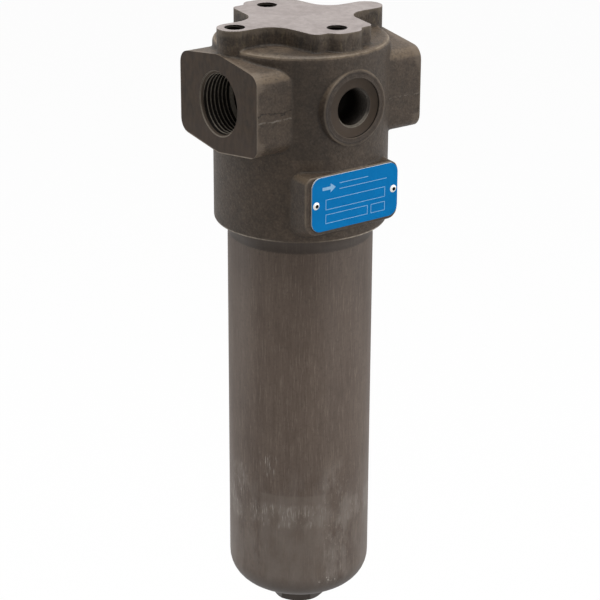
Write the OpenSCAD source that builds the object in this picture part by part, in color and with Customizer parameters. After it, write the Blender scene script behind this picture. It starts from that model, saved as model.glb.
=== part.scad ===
// Hydraulic pressure filter for mounting in a line, with a screwed bowl.
// Millimetres, +Z up. The origin is the centre of the machined mounting face on top of the head.
// The inlet faces -X, the outlet +X, the nameplate and the indicator port face -Y.

/* [Head] */
// Outside diameter of the head
head_d = 90; // [86:0.5:96]
// Height from the mounting face to the head's lower rim
head_h = 105.5; // [104.5:0.5:112]
// Height of the flange above the head's shoulder
flange_h = 9.5; // [7:0.5:11]
// Radius of the shoulder's rounding
shoulder_r = 3; // [2:0.5:6]
// Edge radius of the lower rim
rim_r = 1.2; // [0.6:0.1:2]
// Distance from the centre to the middle of each end lobe
lobe_x = 41.3; // [40:0.5:43]
// Width of each end lobe
lobe_w = 17; // [15:0.5:18]
// Distance from the centre to the hole boss of each side lobe
boss_y = 29.7; // [28:0.1:30.5]
// Radius of the round boss at each side lobe
boss_r = 12; // [10:0.5:12.5]
// Width of a side lobe next to the end lobes
waist_w = 44.6; // [42:0.2:47]
// Width of a side lobe at its shoulders
side_w = 35.6; // [34:0.2:38]
// Distance from the centre to a side lobe's shoulders
side_y = 36.2; // [35:0.2:37]
// Radius of the hollows between the lobes
hollow_r = 12; // [8:0.5:13]

/* [Ports] */
// Depth of the port axis below the mounting face
port_drop = 37.5; // [37:0.5:40]
// Distance between the two port faces
port_span = 102; // [100:1:108]
// Width of a port block
block_w = 67.6; // [64:0.4:70]
// Height of a port block at its middle
block_h = 50.6; // [49:0.2:52]
// Height of a port block at its sides, before the corners are rounded
block_side_h = 41; // [38:0.5:43]
// Corner radius of a port block
block_corner_r = 7; // [4:0.5:9]
// Minor diameter of the port thread
port_thread_d = 30.3; // [28:0.1:31]
// Length of the port thread
port_thread_l = 18; // [16:1:18]
// Diameter of the countersink at the mouth of a port
port_mouth_d = 33.6; // [32:0.1:35]
// Diameter of the drilled bore behind the port thread
port_drill_d = 28; // [24:0.5:28.5]
// Distance from the centre to the end of the inlet bore
inlet_end_x = 21; // [20:0.5:24]
// Distance past the centre to the end of the outlet bore
outlet_end_x = 10; // [10:0.5:11]
// Diameter of the drillings between the inlet bore and the oil chamber
inlet_drill_d = 13; // [10:0.5:13.5]

/* [Indicator port] */
// Minor diameter of the indicator thread
gauge_thread_d = 18.4; // [17:0.1:19]
// Depth of the indicator thread
gauge_thread_l = 16; // [14:0.5:18]
// Diameter of the countersink at its mouth
gauge_mouth_d = 20.4; // [20:0.1:22]
// Diameter of the spot face
gauge_spot_d = 30; // [28:0.5:31]
// Depth of the spot face
gauge_spot_t = 1.1; // [0.6:0.1:1.6]
// Diameter of the machined land round the spot face
gauge_land_d = 35.4; // [35:0.1:36]
// Depth of the land below the boss's rim
gauge_land_t = 0.25; // [0.1:0.05:0.3]
// Diameter of the indicator boss
gauge_boss_d = 38; // [36:0.5:41]
// Height of the indicator boss's face above the head's front line
gauge_rise = 0.4; // [0.2:0.1:2]
// Diameter of the two sensing drillings
sense_d = 3; // [2:0.5:4]

/* [Mounting holes] */
// Minor diameter of the tapped mounting holes
mount_thread_d = 8.5; // [8:0.1:9]
// Depth of the tapped mounting holes
mount_thread_l = 14; // [12:0.5:16]
// Diameter of the countersink of the mounting holes
mount_mouth_d = 10.4; // [10:0.1:11]
// Distance from the centre to the hole in the end lobe
mount_x = 40.7; // [39.5:0.1:42]

/* [Nameplate] */
// Width of the nameplate
plate_w = 54; // [50:0.5:56]
// Height of the nameplate
plate_h = 28.2; // [26:0.2:29]
// Thickness of the nameplate
plate_t = 0.8; // [0.5:0.1:1.2]
// Corner radius of the nameplate
plate_corner_r = 5.4; // [3:0.1:7]
// Depth of the nameplate's centre below the port axis
plate_drop = 46; // [45.5:0.5:47]
// Height of the pad's face above the head's front line
pad_rise = 0.6; // [0.4:0.1:2]
// Rim of the pad beside the nameplate, on the inlet's side
pad_rim_left = 3.5; // [0.4:0.1:4]
// Rim of the pad beside the nameplate, on the outlet's side
pad_rim_right = 0.7; // [0.3:0.1:1]
// Rim of the pad above the nameplate
pad_rim_top = 0.5; // [0.3:0.1:2]
// Rim of the pad below the nameplate
pad_rim_low = 1.8; // [0.4:0.1:3]
// Radius of the pad's lower corner on the inlet's side
pad_low_r = 8; // [5:0.5:9]
// Spread of the pad's foot above its face
pad_draft_top = 0.8; // [0.3:0.1:2]
// Spread of the pad's foot below its face
pad_draft_low = 5; // [0.3:0.1:5.5]
// Distance between the two rivets
rivet_pitch = 48.6; // [44:0.2:49]
// Diameter of a rivet's head
rivet_head_d = 4; // [3.6:0.1:5]
// Height of a rivet's head
rivet_head_h = 0.8; // [0.6:0.1:1.2]
// Diameter of a rivet's shank
rivet_d = 2.8; // [2.2:0.1:3.2]
// Length of a rivet's shank below the plate
rivet_l = 5; // [4:0.5:6]
// Diameter of the hole in a rivet
rivet_hole_d = 1.8; // [1.4:0.1:2]

/* [Bowl] */
// Outside diameter of the bowl
bowl_d = 76; // [74:0.5:77]
// Wall of the bowl
bowl_wall = 7; // [6.5:0.1:7]
// Length of the bowl below the head's rim
bowl_l = 215; // [214:1:240]
// Radius of the bowl's lower corner
knuckle_r = 16; // [12:0.5:20]
// Radius of the bowl's crowned bottom
crown_r = 76; // [70:1:90]
// Length of the thread between the bowl and the head
bowl_thread_l = 14.5; // [12:0.5:15]
// Pitch of the bowl thread
bowl_pitch = 2; // [1.5:0.5:2]
// Length of the bowl's seal pilot above the thread
pilot_l = 10; // [9:0.5:10.5]
// Step from the thread to the seal pilot, on the radius
pilot_step = 1.4; // [1.2:0.1:1.6]
// Height of the relief between the rim and the bowl's shoulder
relief_h = 7.6; // [5:0.2:9]
// Depth of the relief
relief_t = 0.9; // [0.5:0.1:1.2]
// Width of the hexagon on the bowl's bottom, across its flats
hex_af = 27; // [24:1:30]
// Height of the hexagon below the bowl's crown
hex_h = 7; // [6:0.5:10]

/* [Seals] */
// Section of the bowl's O-ring, as squeezed
bowl_ring_d = 2.3; // [2:0.1:2.6]
// Thickness of the backup ring
backup_t = 1.5; // [1.2:0.1:1.8]
// Section of the element's O-ring, as squeezed
element_ring_d = 2.4; // [2:0.1:2.8]
// Section of the bypass valve's O-ring, as squeezed
bypass_ring_d = 1.4; // [1.2:0.1:1.5]

/* [Filter element] */
// Outside diameter of the element's caps
cap_d = 58.6; // [57:0.2:59]
// Thickness of the caps' plates
cap_t = 3; // [2:0.5:4]
// Height of the caps' skirts
skirt_h = 8; // [6:0.5:10]
// Thickness of the caps' skirts
skirt_t = 1.2; // [1:0.1:1.4]
// Room under the element, where dirt settles
sump_h = 27.2; // [12:0.2:40]
// Number of pleats
pleats = 42; // [30:1:48]
// Thickness of the pleated layer
pleat_t = 0.8; // [0.6:0.1:1]
// Outside diameter of the core tube
core_d = 36; // [34:0.5:38]
// Wall of the core tube
core_wall = 0.8; // [0.6:0.1:1.2]
// Diameter of the core tube's holes
core_hole_d = 6; // [4:0.5:7]
// Wall of the outer sleeve
sleeve_wall = 0.5; // [0.4:0.1:0.8]
// Diameter of the sleeve's holes
sleeve_hole_d = 9; // [6:0.5:10]

/* [Spigot] */
// Depth of the oil chamber's roof below the mounting face
roof_drop = 62.5; // [62:0.5:64]
// Outside diameter of the spigot that carries the element
spigot_d = 26; // [24:0.5:27]
// Length of the spigot below the chamber's roof
spigot_l = 18; // [16:0.5:20]
// Diameter of the spigot's bore
spigot_bore_d = 18; // [16:0.5:18.5]
// Height of the stop ring at the spigot's root
stop_h = 3.5; // [3:0.5:4]

/* [Bypass valve] */
// Distance from the centre to the valve's axis
bypass_x = 25.6; // [25.4:0.1:25.8]
// Diameter of the valve's body
bypass_d = 14; // [13.6:0.2:14.4]
// Diameter of the flange under the chamber's roof
bypass_flange_d = 17; // [16.6:0.2:17]
// Thickness of that flange
bypass_flange_t = 2.6; // [2.4:0.1:3]
// Length of the valve's body above the roof
bypass_l = 26; // [25:0.5:28]
// Diameter of the valve's seat hole
seat_d = 7; // [6:0.5:7.5]
// Diameter of the poppet's head
poppet_d = 10; // [9.6:0.1:10.2]
// Travel of the poppet
poppet_lift = 3; // [2:0.5:3.5]
// Mean diameter of the spring's coils
spring_d = 7.6; // [7.2:0.1:7.8]
// Diameter of the spring's wire
wire_d = 1; // [0.8:0.1:1.1]
// Turns of the spring
spring_turns = 6; // [5:0.5:7]

/* [Fits] */
// Radial clearance of a running fit
run_gap = 0.05; // [0.02:0.01:0.09]
// Clearance of pieces that lie next to each other
seat_gap = 0.3; // [0.2:0.05:0.4]
// Clearance round a squeezed ring
ring_gap = 0.03; // [0.02:0.01:0.06]

/* [Hidden] */

$fn = 96;
// Overshoot of a cut past the surface that it opens
cut = 1;

port_z = -port_drop;
rim_z = -head_h;
roof_z = -roof_drop;
shoulder_z = -flange_h;
half_span = port_span / 2;
head_r = head_d / 2;
pad_face_y = head_r + pad_rise;
gauge_face_y = head_r + gauge_rise;
gauge_spot_y = gauge_face_y - gauge_spot_t;

// Bowl and its bore in the head, from the rim upwards
thread_r = bowl_d / 2 - bowl_pitch * 0.325;
bore_thread_r = thread_r + run_gap;
pilot_r = thread_r - pilot_step;
bore_pilot_r = pilot_r + run_gap;
thread_top_z = rim_z + bowl_thread_l;
stop_z = thread_top_z + pilot_l;
bowl_top_z = stop_z - seat_gap;
chamber_r = bore_pilot_r - 1;
bowl_in_r = bowl_d / 2 - bowl_wall;
bowl_low_z = rim_z - bowl_l;
hex_low_z = bowl_low_z - hex_h;
crown_mid_z = bowl_low_z + crown_r;
knuckle_x = bowl_d / 2 - knuckle_r;
knuckle_z = crown_mid_z - sqrt(pow(crown_r - knuckle_r, 2) - pow(knuckle_x, 2));
knuckle_a = atan(knuckle_x / (crown_mid_z - knuckle_z));

// Seal groove on the bowl's pilot
groove_h = bowl_ring_d + backup_t + 3 * ring_gap;
groove_top_z = bowl_top_z - 2.4;
groove_low_z = groove_top_z - groove_h;
groove_r = bore_pilot_r - bowl_ring_d - 2 * ring_gap;

// Element: its hub slides on the spigot, up to the stop ring
spigot_low_z = roof_z - spigot_l;
stop_low_z = roof_z - stop_h;
cap_top_z = stop_low_z - seat_gap;
media_top_z = cap_top_z - cap_t;
cap_low_z = bowl_low_z + bowl_wall + sump_h;
media_low_z = cap_low_z + cap_t;
media_l = media_top_z - media_low_z;
hub_in_r = spigot_d / 2 + run_gap;
core_in_r = core_d / 2 - core_wall;
hub_out_r = core_in_r - seat_gap;
hub_l = spigot_l - stop_h - seat_gap;
skirt_in_r = cap_d / 2 - skirt_t;
sleeve_out_r = skirt_in_r - 0.15;
sleeve_in_r = sleeve_out_r - sleeve_wall;
pleat_out_r = sleeve_in_r - 0.15;
pleat_in_r = core_d / 2 + 0.15;
element_groove_z = cap_top_z - hub_l / 2;
element_groove_r = hub_in_r + element_ring_d + ring_gap;

// Bypass valve, from its flange under the roof upwards
bypass_low_z = roof_z - bypass_flange_t;
seat_z = roof_z + 2;
bypass_top_z = roof_z + bypass_l;
bypass_bore_r = bypass_d / 2 - 1.4;
bypass_hole_r = bypass_d / 2 + run_gap;
retainer_z = bypass_top_z - 2;
retainer_t = 1;
spring_plate_t = 1.6;
plate_low_z = retainer_z - spring_plate_t;
poppet_rim_t = 2.4;
spring_low_z = seat_z + poppet_rim_t + 0.05;
spring_top_z = plate_low_z - 0.05;

cast_color = [0.30, 0.27, 0.25];
bowl_color = [0.38, 0.35, 0.33];
steel_color = [0.72, 0.72, 0.70];
rubber_color = [0.10, 0.10, 0.10];
plate_color = [0.02, 0.44, 0.76];

// Points of an arc about a centre, from one angle to another
function arc(mid, r, from, to, n = 8) =
    [for (i = [0 : n]) let (a = from + (to - from) * i / n) [mid.x + r * cos(a), mid.y + r * sin(a)]];

function unit(v) = v / norm(v);

// Points of the arc of radius r that rounds the corner b between a and c
function corner(a, b, c, r, n) =
    let (u = unit(a - b), w = unit(c - b), half = acos(u * w) / 2,
         mid = b + unit(u + w) * r / sin(half),
         p = b + u * r / tan(half) - mid, q = b + w * r / tan(half) - mid,
         from = atan2(p.y, p.x), sweep = (atan2(q.y, q.x) - from + 540) % 360 - 180)
    arc(mid, r, from, from + sweep, n);

// Outline through the corners [x, y, radius], each one rounded
function rounded(corners, n = 6) =
    let (k = len(corners), at = [for (c = corners) [c.x, c.y]])
    [for (i = [0 : k - 1]) each corner(at[(i + k - 1) % k], at[i], at[(i + 1) % k], corners[i].z, n)];

function flipped(v) = [for (i = [len(v) - 1 : -1 : 0]) v[i]];
function mirrored_x(v) = [for (p = flipped(v)) [-p.x, p.y, p.z]];
function mirrored_y(v) = [for (p = flipped(v)) [p.x, -p.y, p.z]];

// A square plate outline with rounded corners, drawn flat
module rounded_rect(w, h, r) {
    polygon(rounded([[w / 2, -h / 2, r], [w / 2, h / 2, r], [-w / 2, h / 2, r], [-w / 2, -h / 2, r]]));
}

// Quarter of the flange: end lobe, hollow, side lobe's shoulder, dip and round boss
flange_quarter = let (half_lobe = lobe_w / 2, tip_y = boss_y + boss_r)
    [[lobe_x + half_lobe, half_lobe, half_lobe - 0.1],
     [waist_w / 2, half_lobe, hollow_r],
     [side_w / 2, side_y, 4],
     [boss_r * 0.82, side_y + 0.2, 3],
     [boss_r * 0.55, tip_y, 6]];
flange_half = concat(flange_quarter, mirrored_x(flange_quarter));
flange_outline = rounded(concat(flange_half, mirrored_y(flange_half)));

// Section of a port block: a flat hexagon with rounded corners
block_section = rounded([
    [0, block_h / 2, 20], [-block_w / 2, block_side_h / 2, block_corner_r],
    [-block_w / 2, -block_side_h / 2, block_corner_r], [0, -block_h / 2, 20],
    [block_w / 2, -block_side_h / 2, block_corner_r], [block_w / 2, block_side_h / 2, block_corner_r]]);

// Turns a shape drawn along +Z to point along +X, -X or -Y
module along_x() { rotate([0, 90, 0]) children(); }
module toward_front() { rotate([90, 0, 0]) children(); }

// A tapped hole that opens at z = 0 and runs down, with its countersink
module tapped_hole(thread_d, depth, mouth_d) {
    sink = (mouth_d - thread_d) / 2;
    translate([0, 0, -depth]) cylinder(d = thread_d, h = depth + cut);
    translate([0, 0, -sink]) cylinder(d1 = thread_d, d2 = mouth_d, h = sink);
    cylinder(d = mouth_d, h = cut);
    translate([0, 0, -depth - thread_d * 0.25]) cylinder(d1 = 0.2, d2 = thread_d, h = thread_d * 0.25);
}

module head_body() {
    rotate_extrude() polygon(concat(
        [[0, rim_z]],
        arc([head_r - rim_r, rim_z + rim_r], rim_r, -90, 0, 5),
        arc([head_r - shoulder_r, shoulder_z - shoulder_r], shoulder_r, 0, 82, 7),
        [[0, shoulder_z + 1]]));
}

// The flange's end lobes run down to the port blocks, and its side lobes into the shoulder
module flange() {
    lobe_foot_z = port_z + block_h / 2 - 1.5;
    translate([0, 0, lobe_foot_z]) linear_extrude(-lobe_foot_z) polygon(flange_outline);
}

module port_blocks() {
    translate([-half_span, 0, port_z]) rotate([90, 0, 90])
        linear_extrude(port_span) polygon(block_section);
}

module indicator_boss() {
    foot = 9;
    translate([0, foot - head_r, port_z]) toward_front()
        cylinder(d1 = gauge_boss_d + 2.4, d2 = gauge_boss_d, h = foot + gauge_rise);
}

// Pad of the nameplate: it stands further out towards the inlet, and leans out towards its lower foot
module plate_pad() {
    skin = 0.5;
    foot_y = pad_face_y - 14;
    translate([0, 0, port_z - plate_drop]) hull() {
        translate([0, skin - pad_face_y, 0]) toward_front() linear_extrude(skin) pad_outline(0, 0);
        translate([0, skin - foot_y, 0]) toward_front() linear_extrude(skin)
            pad_outline(pad_draft_top, pad_draft_low);
    }
}

module pad_outline(above, below) {
    left = -plate_w / 2 - pad_rim_left;
    right = plate_w / 2 + pad_rim_right;
    top = plate_h / 2 + pad_rim_top + above;
    low = -plate_h / 2 - pad_rim_low - below;
    r = plate_corner_r;
    polygon(rounded([[left, top, r - 0.4], [left, low, pad_low_r], [right, low, r], [right, top, r]]));
}

module port_bore(depth) {
    tapped_hole(port_thread_d, port_thread_l, port_mouth_d);
    translate([0, 0, -depth]) cylinder(d = port_drill_d, h = depth);
}

module mounting_holes() {
    for (p = [[-mount_x, 0], [0, boss_y], [0, -boss_y]])
        translate([p.x, p.y, 0]) tapped_hole(mount_thread_d, mount_thread_l, mount_mouth_d);
}

// Bore for the bowl: thread, seal pilot and oil chamber, one above the other
module bowl_bore() {
    entry = bore_thread_r + 2;
    translate([0, 0, rim_z - cut]) cylinder(r = bore_thread_r, h = bowl_thread_l + cut);
    translate([0, 0, rim_z - 0.01]) cylinder(r1 = entry, r2 = bore_thread_r, h = entry - bore_thread_r);
    translate([0, 0, thread_top_z - 0.01]) cylinder(r = bore_pilot_r, h = pilot_l + 0.01);
    difference() {
        translate([0, 0, stop_z - 0.01]) cylinder(r = chamber_r, h = roof_z - stop_z + 0.01);
        spigot_solid();
    }
}

module spigot_solid() {
    translate([0, 0, spigot_low_z]) cylinder(d = spigot_d, h = spigot_l + cut);
    translate([0, 0, stop_low_z]) cylinder(d = spigot_d + 6, h = stop_h + cut);
}

// Inlet passage from the inlet bore down into the chamber: three drillings side by side
module inlet_passage() {
    mid_r = chamber_r - inlet_drill_d / 2 - 0.5;
    for (turn = [-24, 0, 24]) rotate(turn)
        translate([-mid_r, 0, roof_z - cut]) cylinder(d = inlet_drill_d, h = port_z - roof_z + cut);
}

// Sensing drillings from the indicator bore to the outlet and to the inlet
module sense_drillings() {
    start_y = gauge_spot_y - gauge_thread_l - 1;
    translate([0, -start_y + 1, port_z]) rotate([-90, 0, 0]) cylinder(d = sense_d, h = start_y - 8, $fn = 24);
    translate([-5, -start_y - 1, port_z]) rotate([-90, 0, 58]) cylinder(d = sense_d, h = 30, $fn = 24);
}

module filter_head() {
    color(cast_color) difference() {
        union() {
            head_body();
            flange();
            port_blocks();
            indicator_boss();
            plate_pad();
        }
        translate([-half_span, 0, port_z]) rotate([0, -90, 0]) port_bore(half_span - inlet_end_x);
        translate([half_span, 0, port_z]) along_x() port_bore(half_span + outlet_end_x);
        translate([0, -gauge_spot_y, port_z]) toward_front() {
            tapped_hole(gauge_thread_d, gauge_thread_l, gauge_mouth_d);
            cylinder(d = gauge_spot_d, h = gauge_spot_t + cut);
            translate([0, 0, gauge_spot_t - gauge_land_t]) cylinder(d = gauge_land_d, h = gauge_land_t + cut);
        }
        sense_drillings();
        mounting_holes();
        bowl_bore();
        inlet_passage();
        translate([0, 0, spigot_low_z - cut]) cylinder(d = spigot_bore_d, h = port_z - spigot_low_z + cut);
        translate([bypass_x, 0, roof_z - cut]) cylinder(r = bypass_hole_r, h = port_z - roof_z);
        rivet_places() translate([0, 0, -rivet_l - 1]) cylinder(d = rivet_d, h = rivet_l + 1 + cut, $fn = 24);
    }
}

// Outside of the bowl below its shoulder, as half a section
function cup(r, low_z, knuckle) =
    let (x = knuckle_x, mid = crown_mid_z)
    concat(arc([0, mid], mid - low_z, -90, -90 + knuckle_a, 8),
           arc([x, knuckle_z], knuckle, -90 + knuckle_a, 0, 8));

module bowl() {
    r = bowl_d / 2;
    shoulder = rim_z - relief_h;
    bevel = r - thread_r + relief_t;
    color(bowl_color) difference() {
        union() {
            rotate_extrude() polygon(concat(
                cup(r, bowl_low_z, knuckle_r),
                [[r, shoulder - bevel], [thread_r - relief_t, shoulder],
                 [thread_r - relief_t, rim_z - 1.5], [thread_r, rim_z - 1.5 + relief_t],
                 [thread_r, thread_top_z - 1.5], [pilot_r, thread_top_z - 1.5 + pilot_step],
                 [pilot_r, groove_low_z], [groove_r, groove_low_z], [groove_r, groove_top_z],
                 [pilot_r, groove_top_z], [pilot_r, bowl_top_z - 1.2], [pilot_r - 1.2, bowl_top_z],
                 [0, bowl_top_z]]));
            bowl_hexagon();
        }
        rotate_extrude() polygon(concat(
            cup(bowl_in_r, bowl_low_z + bowl_wall, knuckle_r - bowl_wall),
            [[bowl_in_r, bowl_top_z - 1], [bowl_in_r + 1, bowl_top_z], [bowl_in_r + 1, bowl_top_z + cut],
             [0, bowl_top_z + cut]]));
    }
}

// Hexagon for the spanner, with its lower corners turned off
module bowl_hexagon() {
    corner_r = hex_af / sqrt(3);
    intersection() {
        translate([0, 0, hex_low_z]) rotate(18) cylinder(r = corner_r, h = hex_h + 3, $fn = 6);
        translate([0, 0, hex_low_z]) rotate_extrude() polygon([
            [0, 0], [hex_af / 2 - 0.3, 0], [corner_r + 0.1, 1.5], [corner_r + 0.1, hex_h + 3.5],
            [0, hex_h + 3.5]]);
    }
}

// A ring of round section about Z
module o_ring(mid_r, section_d, z) {
    translate([0, 0, z]) rotate_extrude() translate([mid_r, 0]) circle(d = section_d, $fn = 24);
}

// A ring of rectangular section about Z
module flat_ring(in_r, out_r, low_z, h) {
    translate([0, 0, low_z]) rotate_extrude() translate([in_r, 0]) square([out_r - in_r, h]);
}

module bowl_o_ring() {
    color(rubber_color)
        o_ring(groove_r + ring_gap + bowl_ring_d / 2, bowl_ring_d, groove_top_z - ring_gap - bowl_ring_d / 2);
}

module bowl_backup_ring() {
    color("ivory")
        flat_ring(groove_r + ring_gap, bore_pilot_r - ring_gap, groove_low_z + ring_gap, backup_t);
}

module rivet_places() {
    for (side = [-1, 1])
        translate([side * rivet_pitch / 2, -pad_face_y, port_z - plate_drop]) toward_front() children();
}

module nameplate() {
    color(plate_color) difference() {
        translate([0, -pad_face_y, port_z - plate_drop]) toward_front()
            linear_extrude(plate_t) rounded_rect(plate_w, plate_h, plate_corner_r);
        rivet_places() translate([0, 0, -cut])
            cylinder(d = rivet_d + 0.2, h = plate_t + 2 * cut, $fn = 24);
    }
}

// Hollow rivets: a domed head on the plate and a shank in the pad, with a hole down the middle
module plate_rivets() {
    dome_w = rivet_head_d / 2;
    shank_r = rivet_d / 2 - 0.02;
    rise = (dome_w * dome_w - rivet_head_h * rivet_head_h) / (2 * rivet_head_h);
    dome_r = rise + rivet_head_h;
    edge_a = atan2(rise, dome_w);
    color(steel_color) rivet_places() difference() {
        rotate_extrude($fn = 32) polygon(concat(
            [[0, -rivet_l], [shank_r, -rivet_l], [shank_r, plate_t]],
            arc([0, plate_t - rise], dome_r, edge_a, 90, 6)));
        translate([0, 0, 0.5 - rivet_l]) cylinder(d = rivet_hole_d, h = rivet_l + plate_t + rivet_head_h, $fn = 24);
    }
}

// Cap of the element: a plate with a skirt round the media
module cap_plate(plate_z, skirt_z, skirt_h) {
    flat_ring(0, cap_d / 2, plate_z, cap_t);
    flat_ring(skirt_in_r, cap_d / 2, skirt_z, skirt_h);
}

module element_top_cap() {
    color(steel_color) difference() {
        union() {
            cap_plate(media_top_z, media_top_z - skirt_h, skirt_h + 0.5);
            translate([0, 0, cap_top_z - hub_l]) cylinder(r = hub_out_r, h = hub_l);
        }
        translate([0, 0, cap_top_z - hub_l - cut]) cylinder(r = hub_in_r, h = hub_l + 2 * cut);
        flat_ring(hub_in_r - 0.5, element_groove_r, element_groove_z - element_ring_d / 2 - ring_gap,
                  element_ring_d + 2 * ring_gap);
    }
}

// The bottom cap is closed, and its three fins keep the element in the middle of the bowl
module element_bottom_cap() {
    fin_r = bowl_in_r - seat_gap;
    color(steel_color) {
        cap_plate(cap_low_z, media_low_z - 0.5, skirt_h + 0.5);
        intersection() {
            union() for (turn = [0, 120, 240]) rotate(turn)
                translate([core_in_r - 4, -1.5, cap_low_z - 4]) cube([20, 3, 4.5]);
            translate([0, 0, cap_low_z - 5]) cylinder(r = fin_r, h = 6);
        }
    }
}

// Zigzag of the media between two radii
function star(out_r, in_r) =
    [for (i = [0 : 2 * pleats - 1]) let (r = i % 2 == 0 ? out_r : in_r, a = 180 * i / pleats)
        [r * cos(a), r * sin(a)]];

module element_media() {
    // A fold's radius grows by more than the layer's thickness, because its sides are steep
    fold = pleat_t * 1.3;
    color("gainsboro") translate([0, 0, media_low_z + 0.05]) linear_extrude(media_l - 0.1) difference() {
        polygon(star(pleat_out_r, pleat_in_r + fold));
        polygon(star(pleat_out_r - fold, pleat_in_r));
    }
}

// A tube with rows of round holes, each row turned half a step from the last
module pierced_tube(in_r, out_r, low_z, h, hole_d, rows, holes) {
    difference() {
        flat_ring(in_r, out_r, low_z, h);
        for (row = [0 : rows - 1], k = [0 : holes - 1])
            translate([0, 0, low_z + h * (row + 1) / (rows + 1)])
                rotate([0, 90, 360 * (k + (row % 2) / 2) / holes])
                    translate([0, 0, in_r - 1]) cylinder(d = hole_d, h = out_r - in_r + 2, $fn = 16);
    }
}

module element_core() {
    color(steel_color)
        pierced_tube(core_in_r, core_d / 2, media_low_z + 0.05, media_l - 0.1, core_hole_d, 9, 6);
}

module element_sleeve() {
    color("white")
        pierced_tube(sleeve_in_r, sleeve_out_r, media_low_z + 0.05, media_l - 0.1, sleeve_hole_d, 7, 8);
}

module element_o_ring() {
    color(rubber_color)
        o_ring(spigot_d / 2 + ring_gap + element_ring_d / 2, element_ring_d, element_groove_z);
}

// Valve body: flange with a spanner hexagon, seat, windows and a groove for the retaining ring
module bypass_body() {
    window_z = seat_z + poppet_rim_t + 1;
    color(steel_color) translate([bypass_x, 0, 0]) difference() {
        union() {
            translate([0, 0, bypass_low_z]) cylinder(d = bypass_flange_d, h = bypass_flange_t - ring_gap);
            translate([0, 0, bypass_low_z]) cylinder(d = bypass_d, h = bypass_top_z - bypass_low_z);
        }
        translate([0, 0, bypass_low_z - cut]) cylinder(d = seat_d, h = bypass_l);
        translate([0, 0, seat_z]) cylinder(r = bypass_bore_r, h = bypass_l);
        flat_ring(bypass_d / 2, bypass_d / 2 + bypass_ring_d + ring_gap,
                  roof_z - bypass_ring_d - 2 * ring_gap, bypass_ring_d + cut);
        for (turn = [0 : 60 : 120]) translate([0, 0, window_z + 2.5]) rotate([0, 90, turn])
            cylinder(d = 4.4, h = bypass_d + 2, center = true, $fn = 24);
        flat_ring(bypass_bore_r - 0.5, bypass_bore_r + 0.7, retainer_z, retainer_t + 0.1);
    }
}

module bypass_o_ring() {
    color(rubber_color) translate([bypass_x, 0, 0])
        o_ring(bypass_d / 2 + ring_gap + bypass_ring_d / 2, bypass_ring_d, roof_z - ring_gap - bypass_ring_d / 2);
}

// Poppet: a disc with a cone in the seat and a stem that guides the spring
module bypass_poppet() {
    plug_r = seat_d / 2 - 0.1;
    stem_r = spring_d / 2 - wire_d / 2 - 0.5;
    stem_top = plate_low_z - poppet_lift - seat_gap;
    color("goldenrod") translate([bypass_x, 0, 0]) rotate_extrude($fn = 48) polygon([
        [0, seat_z - 2], [plug_r - 1.4, seat_z - 2], [plug_r, seat_z - 0.4], [plug_r, seat_z + 0.02],
        [poppet_d / 2, seat_z + 0.02], [poppet_d / 2, seat_z + poppet_rim_t],
        [stem_r, seat_z + poppet_rim_t], [stem_r, stem_top - 1], [stem_r - 1, stem_top], [0, stem_top]]);
}

// Swept round wire along a helix, with the turns spread between the poppet and the plate
module bypass_spring() {
    sides = 8;
    per_turn = 16;
    rings = spring_turns * per_turn;
    low = spring_low_z + wire_d / 2;
    rise = spring_top_z - spring_low_z - wire_d;
    points = [for (i = [0 : rings], k = [0 : sides - 1])
        let (a = 360 * i / per_turn, b = 360 * k / sides, r = spring_d / 2 + wire_d / 2 * cos(b))
        [r * cos(a), r * sin(a), low + rise * i / rings + wire_d / 2 * sin(b)]];
    sweep = [for (i = [0 : rings - 1], k = [0 : sides - 1])
        let (n = (k + 1) % sides, at = i * sides)
        [at + k, at + n, at + sides + n, at + sides + k]];
    ends = [[for (k = [sides - 1 : -1 : 0]) k], [for (k = [0 : sides - 1]) rings * sides + k]];
    color(steel_color) translate([bypass_x, 0, 0])
        polyhedron(points, concat([for (f = sweep) flipped(f)], [for (f = ends) flipped(f)]));
}

module bypass_spring_plate() {
    color(steel_color) translate([bypass_x, 0, 0])
        flat_ring(spring_d / 2 - wire_d, bypass_bore_r - run_gap, plate_low_z, spring_plate_t);
}

// Retaining ring: sprung into the groove, open on one side
module bypass_retaining_ring() {
    color(steel_color) translate([bypass_x, 0, 0]) difference() {
        flat_ring(bypass_bore_r - 0.9, bypass_bore_r + 0.6, retainer_z + 0.05, retainer_t - 0.05);
        translate([0, -1, retainer_z - cut]) cube([bypass_d, 2, 3]);
    }
}

filter_head();
bowl();
bowl_o_ring();
bowl_backup_ring();
nameplate();
plate_rivets();
element_top_cap();
element_bottom_cap();
element_media();
element_core();
element_sleeve();
element_o_ring();
bypass_body();
bypass_o_ring();
bypass_poppet();
bypass_spring();
bypass_spring_plate();
bypass_retaining_ring();
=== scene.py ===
"""Looks of the hydraulic pressure filter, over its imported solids. Metres, +Z up out of the mounting face."""

import math

import bmesh
import bpy
import numpy as np
from mathutils import Matrix, Vector


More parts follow.
